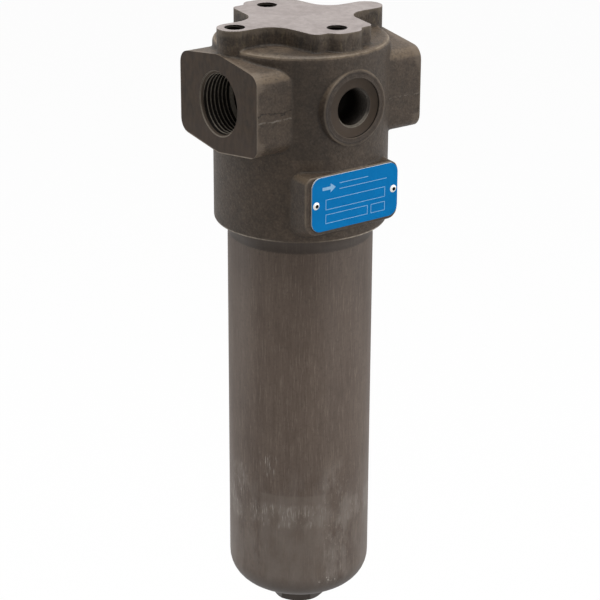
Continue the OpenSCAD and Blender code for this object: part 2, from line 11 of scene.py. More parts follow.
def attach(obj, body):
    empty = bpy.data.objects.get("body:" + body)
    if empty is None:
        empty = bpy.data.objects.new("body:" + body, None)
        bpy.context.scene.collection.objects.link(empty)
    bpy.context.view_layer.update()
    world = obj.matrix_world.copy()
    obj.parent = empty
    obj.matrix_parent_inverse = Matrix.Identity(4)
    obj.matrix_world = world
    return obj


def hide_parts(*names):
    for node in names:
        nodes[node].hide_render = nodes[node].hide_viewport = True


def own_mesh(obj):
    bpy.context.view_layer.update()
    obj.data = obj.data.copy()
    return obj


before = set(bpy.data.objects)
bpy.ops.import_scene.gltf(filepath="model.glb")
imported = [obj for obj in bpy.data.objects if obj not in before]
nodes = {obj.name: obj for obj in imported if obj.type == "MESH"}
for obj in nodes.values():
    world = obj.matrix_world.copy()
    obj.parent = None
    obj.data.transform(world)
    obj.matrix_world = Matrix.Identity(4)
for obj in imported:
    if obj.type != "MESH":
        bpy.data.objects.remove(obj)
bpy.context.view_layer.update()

# One millimetre in the frame's metres
MM = 0.001

# Places on the filter, in millimetres
PORT_Z = -37.5
RIM_Z = -105.5
FLANGE_Z = -9.5
SHOULDER_R = 44.1
HALF_SPAN = 51.0
SPOT_Y = -44.3
BOSS_Y = -45.4
LAND_R = 17.75
PAD_Y = -45.6
PAD_TOP = -69.0
PAD_LOW = -100.0
PLATE_Z = -83.5
RIVET_X = 24.3
PARTING_Z = -40.2
LAP_Z = -36.3
NECK_Z = -114.0
CROWN_Z = -298.0
HEXAGON_Z = -319.5
VALVE_X = 25.6
SPRING_LOW, SPRING_HIGH = -58.05, -40.15
MOUNTING_HOLES = [(-40.7, 0.0), (0.0, 29.7), (0.0, -29.7)]

# Threads: inner radius, outer radius and pitch, in millimetres
PORT_THREAD = (15.15, 16.6, 2.309)
GAUGE_THREAD = (9.2, 10.05, 1.5)
HOLE_THREAD = (4.25, 5.05, 1.5)
RIM_THREAD = (37.4, 38.45, 2.0)
NECK_THREAD = (36.3, 37.35, 2.0)

# The camera: angles in degrees, lengths in millimetres, and its focal length in pixels of its picture
CAMERA_HEADING, CAMERA_DIP, CAMERA_ROLL = 36.363, 21.377, 0.282
CAMERA_AIM_Z, CAMERA_AIM_OFFSET, CAMERA_DISTANCE = -153.524, 0.074, 1100.628
FOCAL_PIXELS, PICTURE_PIXELS = 2075.902, 600
SENSOR_WIDTH = 36.0

# Way across the picture, towards the camera's right
SIDEWAYS = (0.805, -0.593)

# Turns a shape drawn along +Z to point along +X, -X or -Y
TO_RIGHT = Matrix.Rotation(math.radians(90), 4, "Y")
TO_LEFT = Matrix.Rotation(math.radians(-90), 4, "Y")
TO_FRONT = Matrix.Rotation(math.radians(90), 4, "X")


# Shader expressions

class Field:
    """A socket that varies over a surface. Arithmetic on it adds Math nodes to its sheet."""

    def __init__(self, sheet, socket):
        self.sheet = sheet
        self.socket = socket

    def _math(self, operation, *values, clamp=False):
        return self.sheet.add("ShaderNodeMath", {"operation": operation, "use_clamp": clamp},
                              dict(enumerate(values)))

    def __add__(self, other):
        return self._math("ADD", self, other)

    def __radd__(self, other):
        return self._math("ADD", other, self)

    def __sub__(self, other):
        return self._math("SUBTRACT", self, other)

    def __rsub__(self, other):
        return self._math("SUBTRACT", other, self)

    def __mul__(self, other):
        return self._math("MULTIPLY", self, other)

    def __rmul__(self, other):
        return self._math("MULTIPLY", other, self)

    def __pow__(self, other):
        return self._math("POWER", self, other)

    def __abs__(self):
        return self._math("ABSOLUTE", self, 0.0)

    def __lt__(self, other):
        return self._math("LESS_THAN", self, other)

    def __gt__(self, other):
        return self._math("GREATER_THAN", self, other)

    def wave(self):
        return self._math("SINE", self)

    def most(self, other):
        return self._math("MAXIMUM", self, other)

    def clamped(self):
        return self._math("ADD", self, 0.0, clamp=True)

    def between(self, low, high):
        """0 on low's side, 1 on high's side, and a smooth rise in between"""
        return self.sheet.add("ShaderNodeMapRange", {"interpolation_type": "SMOOTHSTEP"},
                              {"Value": self, "From Min": low, "From Max": high})

    def within(self, low, high, soft):
        """1 from low to high, with soft ends of that width"""
        return self.between(low - soft, low) * (1.0 - self.between(high, high + soft))


class Sheet:
    """The node tree of one finish, with the place on the surface in millimetres"""

    def __init__(self, name):
        self.material = bpy.data.materials.new(name)
        self.material.use_nodes = True
        self.tree = self.material.node_tree
        self.tree.nodes.clear()
        coordinates = self.add("ShaderNodeTexCoord", {}, {}, out="Object")
        self.place = self.add("ShaderNodeVectorMath", {"operation": "SCALE"},
                              {0: coordinates, "Scale": 1 / MM})
        self.x, self.y, self.z = self.parts_of(self.place)
        facing = self.add("ShaderNodeNewGeometry", {}, {}, out="Normal")
        self.facing_x, self.facing_y, self.facing_z = self.parts_of(facing)
        self.bent = self.add("ShaderNodeNewGeometry", {}, {}, out="Pointiness") - 0.5

    def add(self, kind, settings, values, out=0):
        """Adds a node: first its settings, then the values or links of its sockets. Gives back one output."""
        node = self.tree.nodes.new(kind)
        for name, value in settings.items():
            setattr(node, name, value)
        for name, value in values.items():
            if isinstance(value, Field):
                self.tree.links.new(value.socket, node.inputs[name])
            else:
                node.inputs[name].default_value = value
        return Field(self, node.outputs[out])

    def parts_of(self, vector):
        node = self.tree.nodes.new("ShaderNodeSeparateXYZ")
        self.tree.links.new(vector.socket, node.inputs[0])
        return [Field(self, socket) for socket in node.outputs]

    def stretched(self, x, y, z):
        """The place on the surface times a factor along each axis"""
        return self.add("ShaderNodeVectorMath", {"operation": "MULTIPLY"}, {0: self.place, 1: (x, y, z)})

    def noise(self, size, detail=3.0, roughness=0.5, at=None):
        """Soft noise from 0 to 1, whose patches are about size millimetres wide"""
        return self.add("ShaderNodeTexNoise", {},
                        {"Vector": at or self.place, "Scale": 1.0 / size, "Detail": detail,
                         "Roughness": roughness})

    def cells(self, size):
        """Distance from the middle of the nearest cell, with cells about size millimetres wide"""
        return self.add("ShaderNodeTexVoronoi", {"feature": "F1"},
                        {"Vector": self.place, "Scale": 1.0 / size}, out="Distance")

    def mix(self, first, second, share):
        """Colour that goes from first to second as share goes from 0 to 1"""
        first, second = [color if isinstance(color, Field) else (*color, 1.0) for color in (first, second)]
        return self.add("ShaderNodeMix", {"data_type": "RGBA", "clamp_factor": True},
                        {0: share, 6: first, 7: second}, out=2)

    def surface(self, color, roughness, bumps=(), metal=0.0, **constants):
        """Ends the sheet in a Principled shader. bumps: pairs of a height from 0 to 1 and its depth in mm."""
        values = {"Base Color": color, "Roughness": roughness, "Metallic": metal}
        normal = None
        for height, depth in bumps:
            sockets = {"Height": height, "Distance": depth * MM, "Strength": 1.0}
            if normal:
                sockets["Normal"] = normal
            normal = self.add("ShaderNodeBump", {}, sockets)
        if normal:
            values["Normal"] = normal
        values.update({name.replace("_", " "): value for name, value in constants.items()})
        shader = self.add("ShaderNodeBsdfPrincipled", {}, values)
        output = self.tree.nodes.new("ShaderNodeOutputMaterial")
        self.tree.links.new(shader.socket, output.inputs["Surface"])
        return self.material


def linear(r, g, b):
    """A colour as seen on a screen, 0 to 255, in the light values that shaders use"""
    return tuple(((c / 255 + 0.055) / 1.055) ** 2.4 if c > 10 else c / 3294.6 for c in (r, g, b))


# Mesh work

def new_piece(name, points, faces):
    mesh = bpy.data.meshes.new(name)
    mesh.from_pydata([tuple(p) for p in points], [], faces)
    mesh.validate()
    piece = bpy.data.objects.new(name, mesh)
    bpy.context.scene.collection.objects.link(piece)
    return piece


def placed(points, turn, at):
    """Points drawn in millimetres, turned and moved, in metres"""
    move = Matrix.Translation(Vector(at) * MM) @ turn @ Matrix.Scale(MM, 4)
    return [move @ Vector(p) for p in points]


def lathed(name, profile, turn=Matrix(), at=(0, 0, 0), steps=96):
    """A closed solid turned about +Z, from (radius, height) points in mm that go anticlockwise"""
    points, faces, rings = [], [], []
    for r, h in profile:
        if r < 1e-9:
            rings.append([len(points)] * steps)
            points.append((0, 0, h))
        else:
            rings.append(list(range(len(points), len(points) + steps)))
            angles = [2 * math.pi * k / steps for k in range(steps)]
            points += [(r * math.cos(a), r * math.sin(a), h) for a in angles]
    for low, high in zip(rings, rings[1:] + rings[:1]):
        for k in range(steps):
            n = (k + 1) % steps
            loop = [low[k], low[n], high[n], high[k]]
            face = [p for i, p in enumerate(loop) if p not in loop[:i]]
            if len(face) > 2:
                faces.append(face)
    return new_piece(name, placed(points, turn, at), faces)


def plug(radius, low, high, turn=Matrix(), at=(0, 0, 0), steps=96):
    return lathed("plug", [(0, low), (radius, low), (radius, high), (0, high)], turn, at, steps)


def box(name, low, high):
    (a, b, c), (d, e, f) = [[v * MM for v in corner] for corner in (low, high)]
    points = [(a, b, c), (d, b, c), (d, e, c), (a, e, c), (a, b, f), (d, b, f), (d, e, f), (a, e, f)]
    faces = [(0, 3, 2, 1), (4, 5, 6, 7), (0, 1, 5, 4), (1, 2, 6, 5), (2, 3, 7, 6), (3, 0, 4, 7)]
    return new_piece(name, points, faces)


def thread_tool(thread, low, high, outward, turn=Matrix(), at=(0, 0, 0), steps=56):
    """The cutter of a right-hand thread, which cuts outward into a bore or inward into a shaft.
    It fades out over its last half turn."""
    inner, outer, pitch = thread
    tip_share, wide_share = 0.12, 0.78
    tip_half, wide_half = tip_share / 2 * pitch, wide_share / 2 * pitch
    slope = (wide_share - tip_share) / 2 * pitch / (outer - inner)
    overlap = 0.25
    crest, root = (inner, outer) if outward else (outer, inner)
    edge = crest - overlap if outward else crest + overlap
    count = int((high - low) / pitch * steps)
    points, faces = [], []
    for i in range(count + 1):
        angle = 2 * math.pi * i / steps
        mid = high - pitch * i / steps
        fade = min(1.0, (count - i) / (steps / 2))
        tip = crest + (root - crest) * max(fade, 0.02)
        half = wide_half * max(fade, 0.1) + overlap * slope
        for r, dz in ((edge, -half), (tip, -tip_half), (tip, tip_half), (edge, half)):
            points.append((r * math.cos(-angle), r * math.sin(-angle), mid + dz))
    for i in range(count):
        a, b = 4 * i, 4 * i + 4
        for k in range(4):
            n = (k + 1) % 4
            faces.append((a + k, a + n, b + n, b + k))
    faces += [(0, 3, 2, 1), tuple(4 * count + k for k in range(4))]
    if not outward:
        faces = [tuple(reversed(f)) for f in faces]
    return outward_faces(new_piece("thread_tool", placed(points, turn, at), faces))


def valve_spring():
    """The bypass spring, with a closed turn at each end, from the poppet up to the spring plate"""
    wire_r, coil_r = 0.5, 3.8
    turns, end_turns, end_pitch = 6.0, 0.9, 1.25
    sides, per_turn = 12, 32
    low, high = SPRING_LOW + wire_r, SPRING_HIGH - wire_r
    open_turns = turns - 2 * end_turns
    pitch = (high - low - 2 * end_turns * end_pitch) / open_turns
    points, faces = [], []
    count = int(turns * per_turn)
    for i in range(count + 1):
        turn = i / per_turn
        opened = min(max(turn - end_turns, 0.0), open_turns)
        height = low + opened * pitch + (turn - opened) * end_pitch
        around = 2 * math.pi * turn
        for k in range(sides):
            a = 2 * math.pi * k / sides
            r = coil_r + wire_r * math.cos(a)
            z = height + wire_r * math.sin(a)
            points.append((VALVE_X + r * math.cos(around), r * math.sin(around), z))
    for i in range(count):
        for k in range(sides):
            a, b = i * sides + k, i * sides + (k + 1) % sides
            faces.append((a, b, b + sides, a + sides))
    faces += [tuple(range(sides)), tuple(count * sides + k for k in range(sides))]
    return outward_faces(new_piece("valve_spring", [Vector(p) * MM for p in points], faces))


def outward_faces(piece):
    """Turns a closed mesh's faces outward"""
    work = bmesh.new()
    work.from_mesh(piece.data)
    bmesh.ops.recalc_face_normals(work, faces=work.faces)
    work.to_mesh(piece.data)
    work.free()
    return piece


def shaped(piece, kind, settings):
    """Applies a modifier to a piece's mesh"""
    step = piece.modifiers.new(kind, kind)
    for name, value in settings.items():
        setattr(step, name, value)
    bpy.context.view_layer.update()
    mesh = bpy.data.meshes.new_from_object(piece.evaluated_get(bpy.context.evaluated_depsgraph_get()))
    piece.modifiers.clear()
    piece.data = mesh
    return piece


def combined(piece, tools, operation):
    """Joins closed solids to a piece, or cuts them from it, and takes the tools away"""
    for tool in tools:
        shaped(piece, "BOOLEAN", {"operation": operation, "solver": "MANIFOLD", "object": tool})
    for tool in tools:
        bpy.data.objects.remove(tool)
    return piece


def without_slivers(piece, width=0.001 * MM):
    """Takes away the faces of no width, and the pairs of faces back to back, that cuts leave behind"""
    work = bmesh.new()
    work.from_mesh(piece.data)
    bmesh.ops.triangulate(work, faces=work.faces)
    for _ in range(2):
        bmesh.ops.remove_doubles(work, verts=work.verts, dist=width)
        bmesh.ops.dissolve_degenerate(work, dist=width, edges=work.edges)
        bmesh.ops.triangulate(work, faces=work.faces)
        seen, doubled = {}, []
        for face in work.faces:
            key = frozenset(v.index for v in face.verts)
            if key in seen:
                doubled += [face, seen.pop(key)]
            else:
                seen[key] = face
        bmesh.ops.delete(work, geom=doubled, context="FACES")
        work.verts.index_update()
    work.to_mesh(piece.data)
    work.free()
    return piece


def copy_of(node, name):
    """A node's solid as a piece of its own, with its points joined"""
    piece = bpy.data.objects.new(name, nodes[node].data.copy())
    piece.data.materials.clear()
    bpy.context.scene.collection.objects.link(piece)
    work = bmesh.new()
    work.from_mesh(piece.data)
    bmesh.ops.remove_doubles(work, verts=work.verts, dist=1e-7)
    work.to_mesh(piece.data)
    work.free()
    return piece


def points_of(mesh):
    values = np.empty(len(mesh.vertices) * 3)
    mesh.vertices.foreach_get("co", values)
    return values.reshape(-1, 3)


def relaxed(mesh, rounds, share=0.5):
    """Moves each point towards the middle of its neighbours, so that inner and outer corners go round"""
    co = points_of(mesh)
    ends = np.empty(len(mesh.edges) * 2, int)
    mesh.edges.foreach_get("vertices", ends)
    a, b = ends.reshape(-1, 2).T
    count = len(co)
    degree = np.bincount(a, minlength=count) + np.bincount(b, minlength=count)
    for _ in range(rounds):
        total = np.stack([np.bincount(a, co[b, k], count) + np.bincount(b, co[a, k], count)
                          for k in range(3)], 1)
        co += share * (total / degree[:, None] - co)
    mesh.vertices.foreach_set("co", co.ravel())
    mesh.update()


def dressed(piece, body, slot, *finishes, replaces, sharp=32):
    """Gives a piece its finishes and its body, with smooth faces between sharp edges; the slot argument is not
    used
    """
    piece.data.materials.clear()
    for finish in finishes:
        piece.data.materials.append(finish)
    piece.data.polygons.foreach_set("material_index", [0] * len(piece.data.polygons))
    piece.data.polygons.foreach_set("use_smooth", [True] * len(piece.data.polygons))
    piece.data.set_sharp_from_angle(angle=math.radians(sharp))
    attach(piece, body)
    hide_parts(replaces)


# The head: a rough casting, machined where the real one is

def head_plugs(reach):
    """Solids that fill every bore of the head, and stand out of its faces by reach"""
    chamber_r, port_r, gauge_r, hole_r, rivet_r = 39.45, 17.2, 15.3, 5.4, 1.7
    port_end, gauge_end, rivet_end, roof = 12, 20, 30, -20
    port_axis = (0, 0, PORT_Z)
    plugs = [plug(chamber_r, RIM_Z - reach, roof),
             plug(port_r, port_end, HALF_SPAN + reach, TO_LEFT, port_axis),
             plug(port_r, port_end, HALF_SPAN + reach, TO_RIGHT, port_axis),
             plug(gauge_r, gauge_end, -BOSS_Y + reach, TO_FRONT, port_axis)]
    plugs += [plug(hole_r, roof, reach, at=(x, y, 0), steps=48) for x, y in MOUNTING_HOLES]
    plugs += [plug(rivet_r, rivet_end, -PAD_Y + reach, TO_FRONT, (side * RIVET_X, 0, PLATE_Z), steps=32)
              for side in (-1, 1)]
    return plugs


def head_casting():
    """The head with filled bores, rounded casting corners, and stock on the faces to be machined"""
    piece = combined(copy_of("filter_head", "cast_head"), head_plugs(0.0), "UNION")
    co = points_of(piece.data)
    stock, near = 2.0 * MM, 0.001 * MM
    co[co[:, 2] > -near, 2] += stock
    co[co[:, 2] < RIM_Z * MM + near, 2] -= stock
    ends = np.abs(co[:, 0]) > HALF_SPAN * MM - near
    co[ends, 0] += np.sign(co[ends, 0]) * stock
    piece.data.vertices.foreach_set("co", co.ravel())
    shaped(piece, "REMESH", {"mode": "VOXEL", "voxel_size": 0.5 * MM})
    relaxed(piece.data, 3)
    return shaped(piece, "DECIMATE", {"ratio": 0.3})


def head_piece():
    """The casting, machined flat, with the solid's own bores and with real threads cut into them"""
    seed = plug(0.5, -60, -59)
    cavity = combined(seed, head_plugs(reach=0.8), "UNION")
    cavity = combined(cavity, [copy_of("filter_head", "solid")], "DIFFERENCE")
    piece = head_casting()
    beyond = 80
    combined(piece, [box("machining", (-HALF_SPAN, -beyond, RIM_Z), (HALF_SPAN, beyond, 0))], "INTERSECT")
    port_axis = (0, 0, PORT_Z)
    port_low, port_high = HALF_SPAN - 18.5, HALF_SPAN + 1.5
    threads = [thread_tool(PORT_THREAD, port_low, port_high, True, TO_LEFT, port_axis),
               thread_tool(PORT_THREAD, port_low, port_high, True, TO_RIGHT, port_axis),
               thread_tool(GAUGE_THREAD, -SPOT_Y - 15, -SPOT_Y + 1, True, TO_FRONT, port_axis),
               thread_tool(RIM_THREAD, RIM_Z - 1, RIM_Z + 14, True, steps=96)]
    threads += [thread_tool(HOLE_THREAD, -13, 1, True, at=(x, y, 0), steps=36) for x, y in MOUNTING_HOLES]
    combined(piece, [cavity] + threads, "DIFFERENCE")
    return without_slivers(piece)


def finish_faces(mesh, *finishes):
    """Gives each face of the head one of its finishes: cast, cut flat by a tool, or inside a bore"""
    cast, cut, bored = range(3)
    for finish in finishes:
        mesh.materials.append(finish)
    mid = np.empty(len(mesh.polygons) * 3)
    mesh.polygons.foreach_get("center", mid)
    x, y, z = mid.reshape(-1, 3).T / MM
    chamber_r, port_r, gauge_r, hole_r, roof = 39.5, 17.0, 15.05, 5.5, -20
    flat = (z > -0.01) | (z < RIM_Z + 0.01) | (np.abs(x) > HALF_SPAN - 0.01)
    spot = (np.hypot(x, z - PORT_Z) < gauge_r) & (np.abs(y - SPOT_Y) < 0.02)
    bores = (np.hypot(x, y) < chamber_r) & (z < roof)
    bores |= (np.hypot(y, z - PORT_Z) < port_r) & (np.abs(x) > 12)
    bores |= (np.hypot(x, z - PORT_Z) < gauge_r) & (y > BOSS_Y + 0.05) & (y < -20)
    for hole_x, hole_y in MOUNTING_HOLES:
        bores |= (np.hypot(x - hole_x, y - hole_y) < hole_r) & (z > roof)
    kind = np.where(flat | spot, cut, np.where(bores, bored, cast))
    mesh.polygons.foreach_set("material_index", kind)
    mesh.polygons.foreach_set("use_smooth", ~flat)


# Finishes of the head: dark grey-brown phosphated iron

class IronSheet(Sheet):
    """A sheet with the noises of the iron, and the distances from the port axes"""

    def __init__(self, name):
        super().__init__(name)
        self.broad = self.noise(22, 3, 0.55)
        self.patch = self.noise(4.5, 4, 0.6)
        self.grain = self.noise(1.2, 4, 0.65)
        self.tone = (0.4 * self.broad + 0.6 * self.patch).between(0.3, 0.7)
        self.drop = self.z - PORT_Z
        self.port_r = (self.y * self.y + self.drop * self.drop) ** 0.5
        self.gauge_r = (self.x * self.x + self.drop * self.drop) ** 0.5


def bores_finish():
    """Near black inside the bores, partly dark phosphate and partly painted shade, with painted light on the
    gauge bore's right wall, thread crests rubbed bright with painted glints, and painted highlights on the
    mouths
    """
    s = IronSheet("head_bores")
    # The near-black base: dark phosphate, darkened further as painted shade
    color = s.mix(linear(16, 13, 10), linear(28, 23, 18), s.tone)
    chamfer = (abs(s.x) > HALF_SPAN - 1.6) * (s.port_r > 15.4) * (s.port_r < 16.9)
    color = s.mix(color, linear(84, 74, 65), chamfer * 0.7)
    # Painted light on the right inner wall of the gauge bore, near its mouth
    lit_side = (s.gauge_r < 10.6) * s.y.between(-31.0, -43.5) * s.x.between(-1.0, 8.0)
    color = s.mix(color, linear(104, 98, 92), lit_side * (0.35 + 0.4 * s.grain))
    # Port thread crests lighter: bare cut metal, with painted glints
    crest = (s.port_r < 15.3) * (abs(s.x) > 32)
    # Painted highlight round the edge of each port's mouth
    port_mouth = s.port_r.within(16.35, 16.9, 0.15) * (abs(s.x) > HALF_SPAN - 1.0)
    # Painted glint along the lower edge of the gauge bore's mouth
    gauge_mouth = s.gauge_r.within(9.3, 10.3, 0.2) * (s.y < SPOT_Y + 1.5) * (-3.0 - s.drop).between(0.0, 3.0)
    # Rubbed crests together with the painted glints of crests and mouths
    rubbed = (crest * 0.9).most(port_mouth.most(gauge_mouth) * 0.65)
    color = s.mix(color, linear(150, 142, 130), rubbed * (0.2 + s.grain))
    return s.surface(color, 0.5 + 0.16 * s.patch, [(s.grain, 0.02)], Specular_IOR_Level=0.05)


def cut_finish():
    """Faces cut flat: blotched on the port blocks and the boss, and ground bright on top"""
    s = IronSheet("head_cut")
    ground = s.noise(0.5, 2, 0.5, at=s.stretched(0.1, 1, 1))
    blotch = s.noise(2.4, 4, 0.65, at=s.stretched(1, 1, 0.35)).between(0.32, 0.68)
    color = s.mix(linear(24, 16, 9), linear(68, 54, 41), 0.35 * s.tone + 0.3 * s.grain + 0.35 * blotch)
    color = s.mix(color, linear(76, 63, 54), (s.z + 42.0).between(0.0, -14.0) * 0.25)
    low_edge = (s.z + 62.8 - abs(s.y) * 0.142).between(0.8, 0.2)
    side_edge = abs(s.y).between(33.0, 33.6)
    edge = low_edge.most(side_edge * 0.5) * (abs(s.x) > HALF_SPAN - 0.1)
    color = s.mix(color, linear(150, 138, 124), edge * (0.3 + 0.9 * s.patch))
    spot = s.y.within(-46.0, -43.0, 0.5) * (abs(s.x) < 16.0)
    color = s.mix(color, linear(66, 57, 49), spot * 0.7)
    bright = s.mix(linear(108, 99, 96), linear(160, 152, 149), 0.5 * s.tone + 0.5 * s.grain)
    color = s.mix(color, bright, s.z > -0.05)
    bumps = [(ground, 0.012), (s.grain, 0.012)]
    return s.surface(color, 0.42 + 0.2 * s.patch, bumps, Specular_IOR_Level=0.12)


def cast_finish():
    """Rough cast skin: grainy, stained under the flange, rubbed on its edges, with the marks of its mould;
    also painted light on its upward faces, painted highlights on edges and painted shade in hollows and
    corners
    """
    s = IronSheet("head_cast")
    color = s.mix(linear(52, 43, 34), linear(73, 61, 50), s.tone)
    # Painted light: faces tilted upwards made lighter and browner, as if lit from above
    color = s.mix(color, linear(104, 90, 74), s.facing_z.within(0.45, 0.85, 0.2) * (0.3 + 0.6 * s.patch))
    color = flange_stains(s, color)
    color = s.mix(color, linear(26, 20, 15), (s.grain - 0.5).most(0.0) * 2.5)
    color = s.mix(color, linear(112, 99, 85), (0.47 - s.grain).most(0.0) * 1.4)
    # Rubbed edges, painted highlights on edges and painted shade in hollows
    color = rubbed_and_highlit_edges(s, color)
    on_boss = s.y < BOSS_Y + 0.5
    land = (s.gauge_r < LAND_R) * on_boss
    color = s.mix(color, linear(50, 41, 34), land * 0.5)
    # Painted shade: a dark line along the step round the land, on its left half only
    step = s.gauge_r.within(LAND_R - 0.15, LAND_R + 0.15, 0.15) * on_boss * (s.x < 8.0)
    color = s.mix(color, linear(30, 24, 19), step * 0.8)
    ridge, lap = mould_ridge(s), mould_lap(s)
    color = s.mix(color, linear(134, 126, 116), ridge * (0.55 - 0.3 * (s.x > 0.0)))
    color = s.mix(color, linear(30, 24, 19), lap * 0.7)
    # Painted shade beside the boss and on the pad's left side
    color = painted_shade_corners(s, color)
    turned = (s.gauge_r * 7.0).wave() * land
    bumps = [(s.broad, 0.3), (s.patch, 0.35), (s.grain, 0.22), (s.cells(0.9), 0.05), (ridge, 0.35),
             (1.0 - lap, 0.3), (turned, 0.02)]
    return s.surface(color, 0.44 + 0.2 * s.grain, bumps, Specular_IOR_Level=0.25)


def flange_stains(s, color):
    """Pale streaks and dark drips down the flange's side"""
    side = s.z.between(FLANGE_Z - 1.0, FLANGE_Z + 1.0)
    streak = s.noise(1.6, 3, 0.6, at=s.stretched(1, 1, 0.25))
    drip = s.noise(5, 3, 0.6, at=s.stretched(1, 1, 0.4))
    color = s.mix(color, linear(104, 92, 72), side * (streak - 0.52).most(0.0) * 3.0)
    return s.mix(color, linear(26, 21, 16), side * (0.5 - drip).most(0.0) * 4.5)


def rubbed_and_highlit_edges(s, color):
    """Edges rubbed bright on the blocks, the flange and the pad, and painted highlights on the rim's sides,
    the shoulder and the left of the boss; painted shade in hollows, with some dirt, and painted highlights on
    convex edges, with some wear
    """
    around = (s.x * s.x + s.y * s.y) ** 0.5
    sideways = SIDEWAYS[0] * s.x + SIDEWAYS[1] * s.y
    block = abs(s.x).between(HALF_SPAN - 0.9, HALF_SPAN - 0.1) * 0.25
    flange = s.z.between(-0.9, -0.1) * 0.7
    # Painted highlight: the bright line along the rim, on its sides only
    rim = s.z.within(RIM_Z, RIM_Z + 0.7, 0.3) * abs(sideways).between(4, 34)
    # Painted highlight: the thin bright line round the shoulder under the flange
    shoulder = around.within(SHOULDER_R - 0.2, SHOULDER_R + 0.2, 0.2)
    shoulder = shoulder * s.z.within(FLANGE_Z - 1.1, FLANGE_Z - 0.5, 0.2)
    shoulder = shoulder * s.noise(9, 3, 0.6).between(0.3, 0.55)
    # Painted highlight along the boss's outer edge, strongest on its left
    boss = s.gauge_r.within(18.7, 19.2, 0.2) * (s.y < BOSS_Y + 0.5) * (0.5 - s.x * 0.05).clamped() * 0.4
    pad = (s.x < -29.9).most(s.z.within(PAD_TOP - 0.4, PAD_TOP, 0.3))
    pad = pad * s.y.within(PAD_Y, PAD_Y + 0.6, 0.3) * 0.6
    # Rubbed edges together with the painted highlights of the rim, shoulder and boss
    worn = block.most(flange).most(rim).most(shoulder).most(boss).most(pad)
    color = s.mix(color, linear(134, 122, 106), worn * (0.1 + 0.8 * s.patch))
    # Painted shade in hollows and creases, with some dirt
    color = s.mix(color, linear(26, 20, 15), (-0.004 - s.bent).between(0.0, 0.03) * (0.5 + 0.5 * s.patch))
    # Painted highlights on convex edges, with some wear
    color = s.mix(color, linear(112, 100, 87), (s.bent - 0.01).between(0.0, 0.04) * s.grain * 0.8)
    # Painted highlight: a brighter glint in patches along the rim
    return s.mix(color, linear(176, 164, 148), rim * s.noise(4, 3, 0.6).between(0.35, 0.6) * 0.5)


def painted_shade_corners(s, color):
    """Painted shade in the corner between the inlet block and the boss, and on the left side of the pad"""
    corner = s.x.within(-29.0, -17.0, 4.0) * s.y.between(-20.0, -28.0) * (s.z > -62.0)
    # Painted shade on the pad's side that faces left
    shaded_pad_side = s.facing_x.between(-0.7, -0.95) * s.y.within(PAD_Y, -34.0, 0.5)
    shaded_pad_side = shaded_pad_side * s.z.within(PAD_LOW, PAD_TOP, 1.0)
    return s.mix(color, linear(24, 19, 15), (corner * 0.35).most(shaded_pad_side * 0.2))


def block_sides(s):
    """1 on the front and back sides of the port blocks"""
    return (abs(s.x) > 30.5) * (abs(s.y) > 22)


def mould_ridge(s):
    """The fine broken ridge where the mould's halves met, on the sides of the port blocks"""
    wander = 2.2 * (s.noise(5, 3, 0.6) - 0.5)
    ridge = 1.0 - abs(s.z - PARTING_Z + wander).between(0.1, 0.75)
    return ridge * block_sides(s) * s.noise(3, 3, 0.6).between(0.35, 0.6)


def mould_lap(s):
    """The dark wandering line where two streams of iron met, on the front side of the inlet block"""
    wander = (s.x * 0.3).wave() * 0.7 + 6.0 * (s.noise(5.5, 4, 0.7) - 0.5)
    lap = 1.0 - abs(s.z - LAP_Z + wander).between(0.1, 0.5)
    return lap * block_sides(s) * (s.y < 0.0) * (s.x < -31) * s.noise(4, 3, 0.6).between(0.36, 0.5)


# Finishes of the other pieces

def bowl_finish():
    """Phosphated steel, streaked along the bowl's length, scuffed and scratched towards its lower end, with
    painted shade on the crown, the neck and the hexagon
    """
    s = Sheet("bowl_phosphated")
    streak = s.noise(0.7, 4, 0.7, at=s.stretched(1, 1, 0.07))
    speck = s.noise(1.6, 4, 0.7)
    band = s.noise(5, 3, 0.6, at=s.stretched(1, 1, 0.12))
    cloud = s.noise(26, 3, 0.6)
    color = s.mix(linear(82, 69, 60), linear(97, 84, 74), (0.5 * band + 0.5 * cloud).between(0.3, 0.7))
    color = s.mix(color, linear(138, 125, 113), (streak - 0.54).most(0.0) * 2.2)
    color = s.mix(color, linear(66, 57, 50), (0.46 - streak).most(0.0) * 2.2 + (speck - 0.5).most(0.0) * 2.0)
    color = scuffed_end(s, color)
    # Painted shade: darker down the crown, where the bowl curves in underneath
    color = s.mix(color, linear(44, 35, 29), (CROWN_Z - s.z).between(0.0, 14.0) * 0.8)
    # Painted shadow on the neck under the head's rim, and painted shade on the hexagon
    neck, hexagon = s.z.between(NECK_Z - 0.4, NECK_Z + 0.4), (HEXAGON_Z - s.z).between(0.0, 2.0)
    color = s.mix(color, linear(48, 41, 36), neck.most(hexagon * 0.8) * 0.66)
    bumps = [(streak, 0.02), (band, 0.04), (speck, 0.03)]
    return s.surface(color, 0.4 + 0.2 * streak, bumps, Specular_IOR_Level=0.28)


